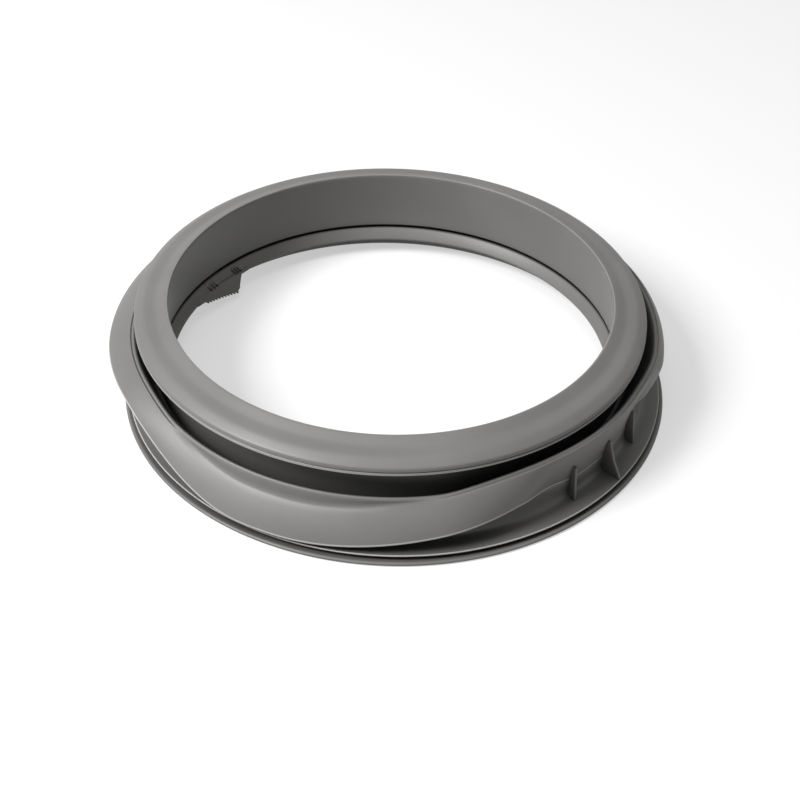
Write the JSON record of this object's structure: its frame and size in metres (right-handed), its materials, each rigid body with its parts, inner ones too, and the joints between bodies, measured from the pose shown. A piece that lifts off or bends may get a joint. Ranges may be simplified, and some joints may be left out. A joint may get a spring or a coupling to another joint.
{
  "type": "washing machine door seal",
  "caption": "Round folded elastomer door seal with a wide sloped flange, an undercut outer fold braced by triangular ribs, a stepped seat rim and a toothed drain tongue",
  "frame": {"origin": "on the throat axis, in the plane of the seat rim that the seal stands on", "axes": "+Z runs along the throat axis from the seat rim to the flange, -Y points to the ribs, +Y to the toothed tongue, and the YZ plane is the plane of symmetry of the folds"},
  "size_m": [0.3811, 0.3897, 0.074],
  "materials": {
    "rubber": "matt grey elastomer"
  },
  "bodies": {
    "root": {"door_seal": "rubber"}
  },
  "joints": []
}
